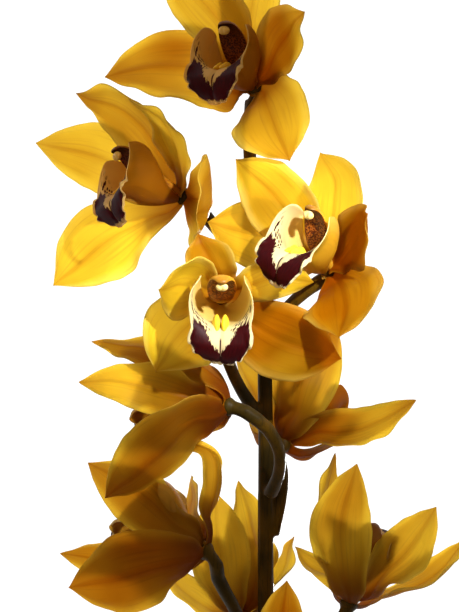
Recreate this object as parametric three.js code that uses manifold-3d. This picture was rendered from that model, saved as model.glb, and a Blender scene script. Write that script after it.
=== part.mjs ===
// A cut cymbidium spike: one green flower stalk that carries ten blooms, each with three sepals, two petals
// and a lip. Millimetres. It lies on its back: +Y runs from the cut end to the top bloom, +Z is up.
import * as THREE from "three";
import Module from "manifold-3d";
import { mergeVertices } from "three/addons/utils/BufferGeometryUtils.js";

// Driving dimensions
const BLOOM_SPAN = 125; // across a bloom with its tepals pressed flat
const STALK_TAIL = 150; // bare stalk below the lowest flower stem
const STALK_RADIUS_CUT_END = 5.2;
const STALK_RADIUS_TOP = 3.3;
const PEDICEL_RADIUS = 3.3;
const OVARY_RADIUS = 3.9; // the pedicel swells into the ovary behind the bloom
const RECEPTACLE_RADIUS = 2.9; // the core that the tepals stand round
const COLUMN_RADIUS = 3;
const TEPAL_THICKNESS = 1.6;
const TEPAL_BASE_WIDTH = 4.6;
const LIP_THICKNESS = 1.5;
const FIT_GAP = 0.6; // clear space between the core and each tepal
const WHORL_GAP = 1.4; // clear height between the feet of the sepals and those of the petals
const WHORL_OFFSET = (TEPAL_THICKNESS + WHORL_GAP) / 2; // sepals sit behind the centre, petals in front of it
const CORE_RADIUS = Math.max(RECEPTACLE_RADIUS, COLUMN_RADIUS);

// Small helpers
const vec = (p) => new THREE.Vector3(...p);
const rad = THREE.MathUtils.degToRad;

// Value at t of a smooth profile given as [t, value] pairs.
function profile(pairs, t) {
  let i = 0;
  while (i < pairs.length - 2 && t > pairs[i + 1][0]) i++;
  const [t0, v0] = pairs[i];
  const [t1, v1] = pairs[i + 1];
  const s = THREE.MathUtils.smoothstep(t, t0, t1);
  return v0 + (v1 - v0) * s;
}

// A closed solid through rings of equal count, with a pole point closing each end.
function loft(rings, startPole, endPole) {
  const n = rings[0].length;
  const points = [startPole, ...rings.flat(), endPole];
  const last = points.length - 1;
  const index = [];
  for (let k = 0; k < n; k++) {
    const next = (k + 1) % n;
    index.push(0, 1 + next, 1 + k);
    for (let i = 0; i < rings.length - 1; i++) {
      const a = 1 + i * n;
      const b = a + n;
      index.push(a + k, a + next, b + next, a + k, b + next, b + k);
    }
    const end = 1 + (rings.length - 1) * n;
    index.push(last, end + k, end + next);
  }
  const geometry = new THREE.BufferGeometry().setFromPoints(points).setIndex(index);
  if (signedVolume(points, index) < 0) {
    for (let i = 0; i < index.length; i += 3) [index[i + 1], index[i + 2]] = [index[i + 2], index[i + 1]];
    geometry.setIndex(index);
  }
  return geometry;
}

function signedVolume(points, index) {
  let sum = 0;
  const cross = new THREE.Vector3();
  for (let i = 0; i < index.length; i += 3) {
    const [a, b, c] = [points[index[i]], points[index[i + 1]], points[index[i + 2]]];
    sum += a.dot(cross.crossVectors(b, c));
  }
  return sum / 6;
}

// One lens-shaped ring of a leaf-like sheet: its two rims, and the points of its front and back between them.
// half is half the flattened width, bend the angle that the section curls through towards its face.
function sheetRing(centre, along, face, half, bend, thickness, cells) {
  const across = new THREE.Vector3().crossVectors(along, face).normalize();
  const front = [];
  const back = [];
  for (let j = 0; j <= cells; j++) {
    const s = -1 + (2 * j) / cells;
    const turn = (s * bend) / 2;
    const radius = Math.abs(bend) > 0.01 ? (2 * half) / bend : 0;
    const side = radius ? radius * Math.sin(turn) : s * half;
    const lift = radius ? radius * (1 - Math.cos(turn)) : 0;
    const normal = face.clone().multiplyScalar(Math.cos(turn)).addScaledVector(across, -Math.sin(turn));
    const mid = centre.clone().addScaledVector(across, side).addScaledVector(face, lift);
    const depth = (thickness / 2) * Math.sqrt(Math.max(0, 1 - s * s));
    front.push(mid.clone().addScaledVector(normal, depth));
    back.push(mid.clone().addScaledVector(normal, -depth));
  }
  return [...front, ...back.slice(1, -1).reverse()];
}

// A bloom's own frame: centre, facing direction, and the direction of its upper sepal
function bloomFrame({ centre, facing, top }) {
  const forward = vec(facing).normalize();
  const up = vec(top).addScaledVector(forward, -vec(top).dot(forward)).normalize();
  const right = new THREE.Vector3().crossVectors(up, forward);
  return { centre: vec(centre), forward, up, right };
}

const inFrame = (frame, [x, y, z]) =>
  frame.centre
    .clone()
    .addScaledVector(frame.right, x)
    .addScaledVector(frame.up, y)
    .addScaledVector(frame.forward, z);

// Tepals
// Where each tepal stands round the core, in degrees clockwise from the top, and in which whorl.
const TEPAL_SEATS = {
  upper_sepal: { azimuth: 0, whorl: -1 },
  right_petal: { azimuth: 58, whorl: 1 },
  left_petal: { azimuth: -58, whorl: 1 },
  right_sepal: { azimuth: 125, whorl: -1 },
  left_sepal: { azimuth: -125, whorl: -1 },
};
const TEPAL_STATIONS = [0, 0.1, 0.23, 0.38, 0.54, 0.7, 0.86, 1];
const TEPAL_CELLS = 4;
const TEPAL_TIP_WIDTH = 1.6;
const TEPAL_FOOT_ROUND = 0.6; // the closed end of the foot reaches this far back towards the core
const TEPAL_TIP_ROUND = 1;
const TEPAL_FOOT_RUN = 3; // straight run out of the core before the midrib curves
const TEPAL_FULLNESS = 0.85; // below 1 fills the outline out
const TEPAL_TIP_THINNING = 0.35;
const TEPAL_FOOT_CUP = 30;
const TEPAL_TIP_CUP_SHARE = 0.7;
const TEPAL_TURN_DONE = 0.6; // the twist is complete at this share of the length
const RIB_SPAN = 125; // the bloom span that the ribs in BLOOMS are written for

// Share of the full width along the midrib: narrow at the base, broadest at `widest`, pointed at the tip.
function tepalOutline(t, widest) {
  return Math.sin(Math.PI * t ** (Math.log(0.5) / Math.log(widest))) ** TEPAL_FULLNESS;
}

function tepalGeometry(frame, seat, { rib, width, widest = 0.52, cup = 40, turn = 0 }) {
  const angle = rad(seat.azimuth);
  const outward = frame.up
    .clone()
    .multiplyScalar(Math.cos(angle))
    .addScaledVector(frame.right, Math.sin(angle));
  const start = frame.centre
    .clone()
    .addScaledVector(outward, CORE_RADIUS + FIT_GAP + TEPAL_FOOT_ROUND)
    .addScaledVector(frame.forward, seat.whorl * WHORL_OFFSET);
  const leave = start.clone().addScaledVector(outward, TEPAL_FOOT_RUN);
  const scale = BLOOM_SPAN / RIB_SPAN;
  const onRib = (p) => vec(p).sub(frame.centre).multiplyScalar(scale).add(frame.centre);
  const curve = new THREE.CatmullRomCurve3([start, leave, ...rib.map(onRib)], false, "centripetal");
  const rings = TEPAL_STATIONS.map((t) => {
    const along = curve.getTangentAt(t);
    const face = frame.forward
      .clone()
      .multiplyScalar(along.dot(outward))
      .addScaledVector(outward, -along.dot(frame.forward));
    face.addScaledVector(along, -face.dot(along)).normalize();
    face.applyAxisAngle(along, rad(turn) * THREE.MathUtils.smoothstep(t, 0, TEPAL_TURN_DONE));
    const share = tepalOutline(t, widest);
    const stalk = THREE.MathUtils.lerp(TEPAL_BASE_WIDTH, TEPAL_TIP_WIDTH, t);
    const half = (stalk * (1 - share) + width * scale * share) / 2;
    const bend = rad(profile([[0, TEPAL_FOOT_CUP], [0.4, cup], [1, cup * TEPAL_TIP_CUP_SHARE]], t));
    const thickness = TEPAL_THICKNESS * (1 - TEPAL_TIP_THINNING * t);
    return sheetRing(curve.getPointAt(t), along, face, half, bend, thickness, TEPAL_CELLS);
  });
  const startPole = start.clone().addScaledVector(curve.getTangentAt(0), -TEPAL_FOOT_ROUND);
  const endPole = curve.getPointAt(1).addScaledVector(curve.getTangentAt(1), TEPAL_TIP_ROUND);
  return loft(rings, startPole, endPole);
}

// Lip: a trough whose side lobes stand up beside the column, then a tongue that bends down
const LIP_FOOT = CORE_RADIUS + FIT_GAP + LIP_THICKNESS / 2; // from the column's axis to the lip's midline
const LIP_MIDLINE = [
  [0, -LIP_FOOT, 3],
  [0, -6, 12],
  [0, -6, 22],
  [0, -3.5, 32],
  [0, -4, 40],
  [0, -10, 44],
  [0, -17, 41.5],
  [0, -22, 37],
];
const LIP_STATIONS = [0, 0.12, 0.25, 0.38, 0.5, 0.59, 0.68, 0.78, 0.9, 1];
const LIP_CELLS = 6;
const LIP_END_ROUND = [0.4, 1]; // how far the closed foot and tip reach past the first and last section
const LIP_HALF_WIDTH = [
  [0, 2.4],
  [0.15, 11],
  [0.34, 20],
  [0.48, 22],
  [0.6, 14],
  [0.67, 12],
  [0.76, 14.5],
  [0.88, 11],
  [1, 3.5],
];
const LIP_BEND = [
  [0, 150],
  [0.2, 195],
  [0.48, 185],
  [0.62, 80],
  [0.72, 0],
  [0.85, -40],
  [1, -50],
];

function lipGeometry(frame) {
  const curve = new THREE.CatmullRomCurve3(
    LIP_MIDLINE.map((p) => inFrame(frame, p)),
    false,
    "centripetal",
  );
  const rings = LIP_STATIONS.map((t) => {
    const along = curve.getTangentAt(t);
    const face = new THREE.Vector3().crossVectors(frame.right, along).negate().normalize();
    const half = profile(LIP_HALF_WIDTH, t);
    const bend = rad(profile(LIP_BEND, t));
    return sheetRing(curve.getPointAt(t), along, face, half, bend, LIP_THICKNESS, LIP_CELLS);
  });
  const [footRound, tipRound] = LIP_END_ROUND;
  const startPole = curve.getPointAt(0).addScaledVector(curve.getTangentAt(0), -footRound);
  const endPole = curve.getPointAt(1).addScaledVector(curve.getTangentAt(1), tipRound);
  return loft(rings, startPole, endPole);
}

// Spike: main stalk, and on it each bloom's pedicel, ovary and column, grown as one piece
const TAIL_DROP = 0.204; // fall of the bare stalk towards the table, per millimetre of its length
const STALK_PATH = [
  [-7, 104, 0],
  [-8, 85, -1],
  [-5, 45, -3],
  [-1, 0, -6],
  [0.5, -60, -10],
  [0.5, -120, -15],
  [1, -180, -21],
  [2, -250, -30],
  [2, -250 - STALK_TAIL / 2, -30 - (TAIL_DROP * STALK_TAIL) / 2],
  [1, -250 - STALK_TAIL, -30 - TAIL_DROP * STALK_TAIL],
];
const STALK_BANDS = 26;
const STALK_SIDES = 12;
const STEM_SIDES = 8;
const PEDICEL_BANDS = 9;
const COLUMN_BANDS = 7;
const COLUMN_MIDLINE = [
  [0, 3, 9],
  [0, 9, 18],
  [0, 15, 26],
  [0, 18, 32],
];

function roundRing(centre, along, radius, sides) {
  const side = new THREE.Vector3(0.31, 0.17, 0.93).cross(along).normalize();
  const other = new THREE.Vector3().crossVectors(along, side);
  return Array.from({ length: sides }, (_, k) => {
    const a = (2 * Math.PI * k) / sides;
    return centre
      .clone()
      .addScaledVector(side, radius * Math.cos(a))
      .addScaledVector(other, radius * Math.sin(a));
  });
}

function tubeGeometry(path, radiusAt, bands, sides) {
  const curve = new THREE.CatmullRomCurve3(path, false, "centripetal");
  const rings = Array.from({ length: bands + 1 }, (_, i) => {
    const t = i / bands;
    return roundRing(curve.getPointAt(t), curve.getTangentAt(t), radiusAt(t), sides);
  });
  return loft(rings, curve.getPointAt(0), curve.getPointAt(1));
}

// The ovary stops short of the sepals, and the core runs on through them into the column.
const SEPAL_SETBACK = 0.5;
const OVARY_END = -(WHORL_OFFSET + TEPAL_THICKNESS / 2 + FIT_GAP + SEPAL_SETBACK);
const OVARY_START = OVARY_END - 3.6;
const CORE_START = OVARY_END - 1.1;
const PEDICEL_PROFILE = [
  [0, PEDICEL_RADIUS * 1.15],
  [0.3, PEDICEL_RADIUS],
  [0.9, OVARY_RADIUS],
  [1, OVARY_RADIUS * 0.9],
];
const COLUMN_PROFILE = [
  [0, RECEPTACLE_RADIUS],
  [0.2, RECEPTACLE_RADIUS],
  [0.4, COLUMN_RADIUS],
  [1, COLUMN_RADIUS * 0.9],
];

function pedicelGeometry(frame, pedicel) {
  const ovary = [[0, 0, OVARY_START], [0, 0, OVARY_END]].map((p) => inFrame(frame, p));
  const path = [...pedicel.map(vec), ...ovary];
  return tubeGeometry(path, (t) => profile(PEDICEL_PROFILE, t), PEDICEL_BANDS, STEM_SIDES);
}

function columnGeometry(frame) {
  const path = [[0, 0, CORE_START], [0, 0, -1], ...COLUMN_MIDLINE].map((p) => inFrame(frame, p));
  return tubeGeometry(path, (t) => profile(COLUMN_PROFILE, t), COLUMN_BANDS, STEM_SIDES);
}

// Blooms, from the top of the spike to the bottom
// rib: points that the midrib passes after it leaves the core. turn: twist about it. cup: curl across it.
const BLOOMS = [
  {
    centre: [-6, 111, 10],
    facing: [-0.46, 0.26, 0.85],
    top: [0.08, 0.95, -0.25],
    pedicel: [[-8, 90, 0], [-6, 101, 2]],
    upper_sepal: { rib: [[-7, 138, 8], [-6, 162, 4], [-3, 186, -2]], width: 30, cup: 50 },
    left_petal: { rib: [[-21, 140, 12], [-38, 160, 4], [-50, 178, -2]], width: 32 },
    right_petal: { rib: [[6, 128, 24], [13, 137, 38], [19, 145, 50]], width: 35 },
    left_sepal: { rib: [[-25, 116, -8], [-50, 121, -14], [-80, 116, -12]], width: 44, cup: 24 },
    right_sepal: { rib: [[0, 103, 18], [4, 92, 26], [12, 73, 28]], width: 45, widest: 0.45, cup: 30 },
  },
  {
    centre: [-43, 56, -20],
    facing: [-0.85, 0.11, 0.515],
    top: [-0.125, 0.9, -0.4],
    pedicel: [[-6, 22, -7], [-18, 32, -14], [-30, 46, -22]],
    upper_sepal: { rib: [[-53, 80, -22], [-69, 97, -26], [-95, 108, -29]], width: 38, cup: 60 },
    left_petal: {
      rib: [[-58, 64, -45], [-86, 77, -59], [-117, 84, -65]],
      width: 36,
      widest: 0.57,
      cup: 30,
    },
    right_petal: { rib: [[-44, 74, -6], [-53, 92, 0], [-68, 104, 1]], width: 25, turn: 35 },
    left_sepal: {
      rib: [[-59, 45, -25], [-85, 30, -30], [-107, 11, -34]],
      width: 42,
      widest: 0.56,
      turn: -30,
      cup: 20,
    },
    right_sepal: { rib: [[-33, 54, -4], [-29, 52, 12], [-34, 46, 36]], width: 48, cup: 60 },
  },
  {
    centre: [31, 19, 27],
    facing: [-0.48, 0.28, 0.83],
    top: [0.39, 0.91, -0.1],
    pedicel: [[-2, -14, -6], [8, -4, 4], [21, 8, 15]],
    upper_sepal: { rib: [[33, 40, 26], [34, 60, 24], [28, 76, 18]], width: 35, cup: 50 },
    left_petal: { rib: [[18, 38, 24], [2, 58, 20], [-14, 73, 14]], width: 36 },
    right_petal: { rib: [[42, 29, 38], [47, 37, 50], [50, 45, 62]], width: 33 },
    left_sepal: { rib: [[14, 27, 18], [-8, 36, 14], [-28, 42, 8]], width: 42 },
    right_sepal: { rib: [[37, 9, 42], [39, -2, 56], [36, -15, 66]], width: 44, turn: -10 },
  },
  {
    centre: [-22, 4, 38],
    facing: [0, -0.33, 0.944],
    top: [0.03, 0.944, 0.33],
    pedicel: [[-4, -54, -8], [-12, -42, 3], [-19, -26, 11], [-22, -9, 18], [-22, 3, 25]],
    upper_sepal: { rib: [[-26, 20, 48], [-31, 30, 52], [-33, 35, 50]], width: 25, cup: 46 },
    left_petal: { rib: [[-34, 9, 52], [-43, 10, 63], [-52, 8, 72]], width: 37, widest: 0.6, cup: 46 },
    right_petal: { rib: [[-10, 9, 45], [4, 14, 49], [23, 12, 46]], width: 22, cup: 20 },
    left_sepal: { rib: [[-34, -6, 40], [-45, -17, 42], [-54, -32, 42]], width: 43, cup: 30 },
    right_sepal: { rib: [[-8, -7, 39], [10, -18, 38], [37, -26, 38]], width: 41, cup: 26 },
  },
  {
    centre: [-20, -50, 22],
    facing: [-0.92, 0.08, -0.38],
    top: [0.1, 0.97, 0.1],
    pedicel: [[3, -95, -9], [7, -84, 4], [7, -72, 14], [1, -61, 21], [-8, -54, 25]],
    upper_sepal: { rib: [[-32, -32, 21], [-57, -22, 18], [-86, -18, 12]], width: 31, turn: -25 },
    right_petal: { rib: [[-39, -46, 37], [-64, -39, 36], [-92, -38, 30]], width: 26 },
    left_petal: { rib: [[-30, -38, 2], [-46, -32, -16], [-62, -28, -32]], width: 30 },
    right_sepal: { rib: [[-34, -57, 38], [-54, -74, 42], [-79, -95, 34]], width: 40, cup: 50 },
    left_sepal: { rib: [[-29, -60, 4], [-46, -65, -11], [-61, -72, -26]], width: 24 },
  },
  {
    centre: [-31, -122, 16],
    facing: [-0.86, 0.4, -0.3],
    top: [0.45, 0.88, 0],
    pedicel: [[-1, -184, -20], [-8, -168, -10], [-16, -151, 2], [-24, -135, 12]],
    upper_sepal: {
      rib: [[-29, -106, 16], [-26, -88, 14], [-29, -72, 12], [-44, -70, 10]],
      width: 16,
      turn: -30,
      cup: 50,
    },
    right_petal: { rib: [[-44, -110, 25], [-61, -95, 23], [-88, -79, 15]], width: 35 },
    left_petal: { rib: [[-36, -112, -4], [-38, -100, -16], [-37, -87, -30]], width: 26 },
    right_sepal: {
      rib: [[-46, -128, 32], [-68, -134, 38], [-97, -140, 32]],
      width: 45,
      turn: 20,
      cup: 50,
    },
    left_sepal: { rib: [[-46, -130, -6], [-72, -130, -20], [-103, -126, -24]], width: 28 },
  },
  {
    centre: [-14, -158, -24],
    facing: [0, 0.68, -0.73],
    top: [-0.29, 0.765, 0.574],
    pedicel: [[0, -204, -24], [-7, -188, -22], [-12, -174, -18]],
    upper_sepal: { rib: [[-20, -138, -14], [-23, -117, -12], [-25, -95, -16]], width: 30 },
    left_petal: { rib: [[-6, -142, -22], [-6, -118, -28], [-13, -90, -32]], width: 28 },
    right_petal: { rib: [[-27, -153, -26], [-38, -146, -28], [-51, -135, -30]], width: 26 },
    left_sepal: { rib: [[-2, -150, -36], [7, -137, -42], [15, -119, -45]], width: 32, turn: 20 },
    right_sepal: { rib: [[-24, -165, -40], [-42, -165, -50], [-60, -158, -57]], width: 24 },
  },
  {
    centre: [10, -69, -18],
    facing: [0.5, 0.55, -0.67],
    top: [0.07, 0.74, 0.67],
    pedicel: [[4, -116, -16], [8, -100, -17], [9, -86, -15]],
    upper_sepal: { rib: [[15, -54, -10], [21, -36, -10], [36, -10, -16]], width: 34 },
    left_petal: { rib: [[26, -63, -12], [50, -61, -10], [76, -48, -14]], width: 22, widest: 0.46 },
    right_petal: { rib: [[2, -56, -22], [-6, -42, -28], [-14, -26, -34]], width: 26 },
    left_sepal: { rib: [[25, -74, -23], [44, -69, -43], [58, -61, -65]], width: 22 },
    right_sepal: { rib: [[-3, -69, -34], [-4, -58, -50], [0, -42, -63]], width: 24 },
  },
  {
    centre: [43, -149, -8],
    facing: [0.29, 0.9, -0.3],
    top: [0.09, 0.285, 0.954],
    pedicel: [[2, -214, -25], [16, -193, -20], [32, -170, -12]],
    upper_sepal: { rib: [[40, -134, 8], [38, -110, 14], [46, -80, 10]], width: 31 },
    left_petal: { rib: [[58, -138, 2], [70, -125, 2], [86, -102, -2]], width: 29, turn: -40 },
    right_petal: { rib: [[33, -138, -4], [25, -131, -2], [16, -122, -2]], width: 22 },
    left_sepal: { rib: [[58, -147, -20], [80, -141, -27], [105, -118, -31]], width: 24, cup: 50 },
    right_sepal: { rib: [[36, -134, -24], [31, -106, -32], [36, -76, -34]], width: 26 },
  },
  {
    centre: [14, -194, 2],
    facing: [0.5, -0.4, 0.75],
    top: [-0.3, 0.9, 0.3],
    pedicel: [[2, -240, -29], [6, -224, -21], [10, -208, -10]],
    upper_sepal: { rib: [[10, -176, 6], [9, -158, 8], [11, -139, 4]], width: 24, cup: 50 },
    left_petal: { rib: [[-4, -190, 14], [-22, -184, 20], [-42, -182, 24]], width: 28 },
    right_petal: { rib: [[30, -184, 4], [46, -176, 6], [66, -172, 6]], width: 30 },
    left_sepal: { rib: [[0, -208, 4], [-14, -224, 4], [-30, -240, 2]], width: 30 },
    right_sepal: { rib: [[26, -210, -8], [40, -226, -12], [52, -244, -16]], width: 32 },
  },
];
const BLOOMS_WITH_LIP_NODE = 9; // the lowest bloom's lip is left to the finished model: 60 nodes at most

// Assembly
const WELD_DISTANCE = 1e-4;
const wasm = await Module();
wasm.setup();

function solidOf(geometry) {
  const bare = geometry.clone();
  bare.deleteAttribute("normal");
  bare.deleteAttribute("uv");
  const merged = mergeVertices(bare, WELD_DISTANCE);
  return new wasm.Manifold(
    new wasm.Mesh({
      numProp: 3,
      vertProperties: merged.attributes.position.array,
      triVerts: new Uint32Array(merged.index.array),
    }),
  );
}

function geometryOf(solid) {
  const mesh = solid.getMesh();
  return new THREE.BufferGeometry()
    .setAttribute("position", new THREE.BufferAttribute(new Float32Array(mesh.vertProperties), 3))
    .setIndex(new THREE.BufferAttribute(new Uint32Array(mesh.triVerts), 1));
}

const stalkGreen = new THREE.MeshStandardMaterial({ color: 0x4a4a14, roughness: 0.55, metalness: 0 });
const petalYellow = new THREE.MeshStandardMaterial({ color: 0xd9a818, roughness: 0.6, metalness: 0 });
const lipCream = new THREE.MeshStandardMaterial({ color: 0xf1e2a0, roughness: 0.6, metalness: 0 });

function named(name, geometry, material) {
  const mesh = new THREE.Mesh(geometry, material);
  mesh.name = name;
  return mesh;
}

const spray = new THREE.Group();
// Adding solids can leave slivers with no volume beside the one body that the spike is.
const SLIVER_VOLUME = 1;
function withoutSlivers(solid) {
  return wasm.Manifold.compose(solid.decompose().filter((body) => body.volume() > SLIVER_VOLUME));
}

let spike = solidOf(
  tubeGeometry(
    STALK_PATH.map(vec),
    (t) => THREE.MathUtils.lerp(STALK_RADIUS_TOP, STALK_RADIUS_CUT_END, t),
    STALK_BANDS,
    STALK_SIDES,
  ),
);
BLOOMS.forEach((bloom, i) => {
  const frame = bloomFrame(bloom);
  const label = "bloom_" + String(i + 1).padStart(2, "0");
  spike = spike.add(solidOf(pedicelGeometry(frame, bloom.pedicel)));
  spike = spike.add(solidOf(columnGeometry(frame)));
  for (const [name, seat] of Object.entries(TEPAL_SEATS)) {
    spray.add(named(label + "_" + name, tepalGeometry(frame, seat, bloom[name]), petalYellow));
  }
  if (i < BLOOMS_WITH_LIP_NODE) spray.add(named(label + "_lip", lipGeometry(frame), lipCream));
});
spray.add(named("flower_spike", geometryOf(withoutSlivers(spike)), stalkGreen));

// The frame's origin is under the middle of the spray, on the table.
const bounds = new THREE.Box3().setFromObject(spray);
const middle = bounds.getCenter(new THREE.Vector3());
spray.position.set(-middle.x, -middle.y, -bounds.min.z);

export default spray;
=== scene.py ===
import math
from bisect import bisect_right

import bmesh
import bpy
from mathutils import Matrix, Vector, noise


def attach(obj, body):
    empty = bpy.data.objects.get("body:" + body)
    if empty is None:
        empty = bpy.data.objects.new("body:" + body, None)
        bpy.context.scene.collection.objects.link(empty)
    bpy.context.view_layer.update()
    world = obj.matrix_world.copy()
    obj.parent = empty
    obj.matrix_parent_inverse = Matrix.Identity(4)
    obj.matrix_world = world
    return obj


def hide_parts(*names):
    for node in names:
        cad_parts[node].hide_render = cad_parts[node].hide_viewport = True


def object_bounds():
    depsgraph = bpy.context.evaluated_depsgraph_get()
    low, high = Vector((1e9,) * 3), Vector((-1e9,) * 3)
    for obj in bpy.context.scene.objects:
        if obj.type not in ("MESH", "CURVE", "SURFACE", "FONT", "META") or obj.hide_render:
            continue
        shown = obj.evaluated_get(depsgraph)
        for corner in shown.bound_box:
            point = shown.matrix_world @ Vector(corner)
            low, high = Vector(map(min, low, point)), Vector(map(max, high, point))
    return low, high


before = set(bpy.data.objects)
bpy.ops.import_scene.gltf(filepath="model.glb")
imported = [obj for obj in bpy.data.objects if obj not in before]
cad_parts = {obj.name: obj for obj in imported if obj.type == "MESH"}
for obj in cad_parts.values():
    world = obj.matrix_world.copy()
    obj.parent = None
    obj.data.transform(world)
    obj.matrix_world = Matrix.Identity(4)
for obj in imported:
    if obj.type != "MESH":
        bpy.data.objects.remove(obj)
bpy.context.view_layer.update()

bpy.ops.object.select_all(action="DESELECT")
print("frame loaded:", len(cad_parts), "nodes")

# A cut spray of yellow boat orchids. Each sepal and petal is a fine sheet drawn over its CAD solid, and the lips,
# columns and anther caps are modelled once in a bloom's own axes (x right, y up, z out of the bloom) and copied.

bloomCount = 10
tepalNames = ["upper_sepal", "right_petal", "left_petal", "right_sepal", "left_sepal"]


def mm(value):
    return value / 1000


def local(x, y, z):
    return Vector((mm(x), mm(y), mm(z)))


def smooth(low, high, value):  # 0 below low, 1 above high, soft between
    share = max(0.0, min(1.0, (value - low) / (high - low)))
    return share * share * (3 - 2 * share)


def blendAt(knots, values, at):  # smooth curve through values (numbers or vectors), each at its knot
    last = len(knots) - 1
    i = max(0, min(last - 1, bisect_right(knots, at) - 1))
    span = knots[i + 1] - knots[i]
    t = (at - knots[i]) / span
    before, after = max(i - 1, 0), min(i + 2, last)
    leave = (values[i + 1] - values[before]) * (span / (knots[i + 1] - knots[before]))
    arrive = (values[after] - values[i]) * (span / (knots[after] - knots[i]))
    t2, t3 = t * t, t * t * t
    return (
        values[i] * (2 * t3 - 3 * t2 + 1)
        + leave * (t3 - 2 * t2 + t)
        + values[i + 1] * (3 * t2 - 2 * t3)
        + arrive * (t3 - t2)
    )


def chordKnots(points):  # how far along each point stands, from 0 to 1
    lengths = [0.0]
    for a, b in zip(points, points[1:]):
        lengths.append(lengths[-1] + (b - a).length)
    return [length / lengths[-1] for length in lengths]


def colour(hexCode):
    parts = [int(hexCode[i : i + 2], 16) / 255 for i in (1, 3, 5)]
    return tuple(c / 12.92 if c <= 0.04045 else ((c + 0.055) / 1.055) ** 2.4 for c in parts) + (1.0,)


def addNode(tree, kind, inputs=None, out=0, stops=None, **settings):  # gives back one of its outputs
    node = tree.nodes.new(kind)
    for name, value in settings.items():
        setattr(node, name, value)
    for key, value in (inputs or {}).items():
        if isinstance(value, bpy.types.NodeSocket):
            tree.links.new(value, node.inputs[key])
        else:
            node.inputs[key].default_value = value
    if stops:
        ramp = node.color_ramp
        while len(ramp.elements) < len(stops):
            ramp.elements.new(1.0)
        for element, (place, tint) in zip(ramp.elements, stops):
            element.position = place
            element.color = colour(tint) if isinstance(tint, str) else (tint, tint, tint, 1.0)
    return node.outputs[out] if node.outputs else node


def newMaterial(name):
    material = bpy.data.materials.new(name)
    material.use_nodes = True
    material.node_tree.nodes.clear()
    return material, material.node_tree


# Tints are (colour stops from foot to tip, pale margin, veins and shade, light that comes through from behind).
petalFinish = {
    "veinsAcross": 20.0,  # about 1.8 mm from vein to vein at the widest
    "veinLength": 1.4,
    "veinDepth": mm(0.16),
    "veinShare": 0.5,
    "marginShare": 0.6,
    "midribShare": 0.4,
    "cloudSize": mm(24),
    "cellSize": mm(0.7),  # surface cells, drawn coarse
    "roughness": 0.48,
    "shine": 0.14,
    "paintedShadeTint": "#cc9c3a",  # amber that the depth attribute mixes in: painted shade
    "throughShare": 0.68,  # how much of the light passes through the tissue
    "face": (["#c07c06", "#e6ca28", "#dcb018"], "#f2e480", "#bc8406", "#f2e694"),
    # the back tints are a darker copy of the face tints: painted shade on the tepals' outer side
    "back": (["#9c6406", "#cca01a", "#b48412"], "#e4c444", "#96660a", "#f0e084"),
    "lipBack": (["#b07c12", "#d6a62a", "#e6cc7c"], "#ecd070", "#ac7c1c", "#f2dc78"),
}


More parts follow.
